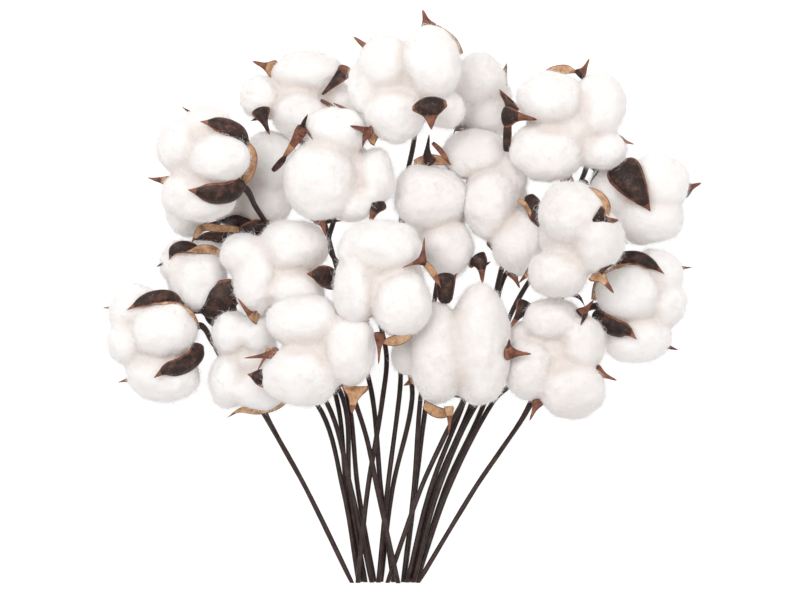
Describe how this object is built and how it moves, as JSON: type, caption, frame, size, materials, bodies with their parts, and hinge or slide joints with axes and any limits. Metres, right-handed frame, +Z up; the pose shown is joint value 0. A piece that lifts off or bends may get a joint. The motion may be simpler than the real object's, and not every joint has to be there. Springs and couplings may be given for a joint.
{
  "type": "cotton stem bunch",
  "caption": "Loose bunch of cotton picks lying on a surface: thin brown stems, dry pointed burrs and open white cotton bolls.",
  "frame": {"origin": "centre of the bunch's box on the surface that it lies on", "axes": "+Z up from the surface, +Y from the cut ends towards the bolls, +X to the right seen from above with the bolls at the top"},
  "size_m": [0.3596, 0.3428, 0.0957],
  "materials": {
    "cotton": "fluffy, matt, soft fibre",
    "burr": "dry husk, dark outside and tan inside",
    "stem": "dark brown, faintly grained"
  },
  "bodies": {
    "root": {"stem_01": "stem", "stem_02": "stem", "stem_03": "stem", "stem_04": "stem", "stem_05": "stem", "stem_06": "stem", "stem_07": "stem", "stem_08": "stem", "stem_09": "stem", "stem_10": "stem", "stem_11": "stem", "stem_12": "stem", "stem_13": "stem", "stem_14": "stem", "stem_15": "stem", "stem_16": "stem", "stem_17": "stem", "stem_18": "stem", "stem_19": "stem", "stem_20": "stem", "burr_01": "burr", "burr_02": "burr", "burr_03": "burr", "burr_04": "burr", "burr_05": "burr", "burr_06": "burr", "burr_07": "burr", "burr_08": "burr", "burr_09": "burr", "burr_10": "burr", "burr_11": "burr", "burr_12": "burr", "burr_13": "burr", "burr_14": "burr", "burr_15": "burr", "burr_16": "burr", "burr_17": "burr", "burr_18": "burr", "burr_19": "burr", "burr_20": "burr", "cotton_01": "cotton", "cotton_02": "cotton", "cotton_03": "cotton", "cotton_04": "cotton", "cotton_05": "cotton", "cotton_06": "cotton", "cotton_07": "cotton", "cotton_08": "cotton", "cotton_09": "cotton", "cotton_10": "cotton", "cotton_11": "cotton", "cotton_12": "cotton", "cotton_13": "cotton", "cotton_14": "cotton", "cotton_15": "cotton", "cotton_16": "cotton", "cotton_17": "cotton", "cotton_18": "cotton", "cotton_19": "cotton", "cotton_20": "cotton"}
  },
  "joints": []
}
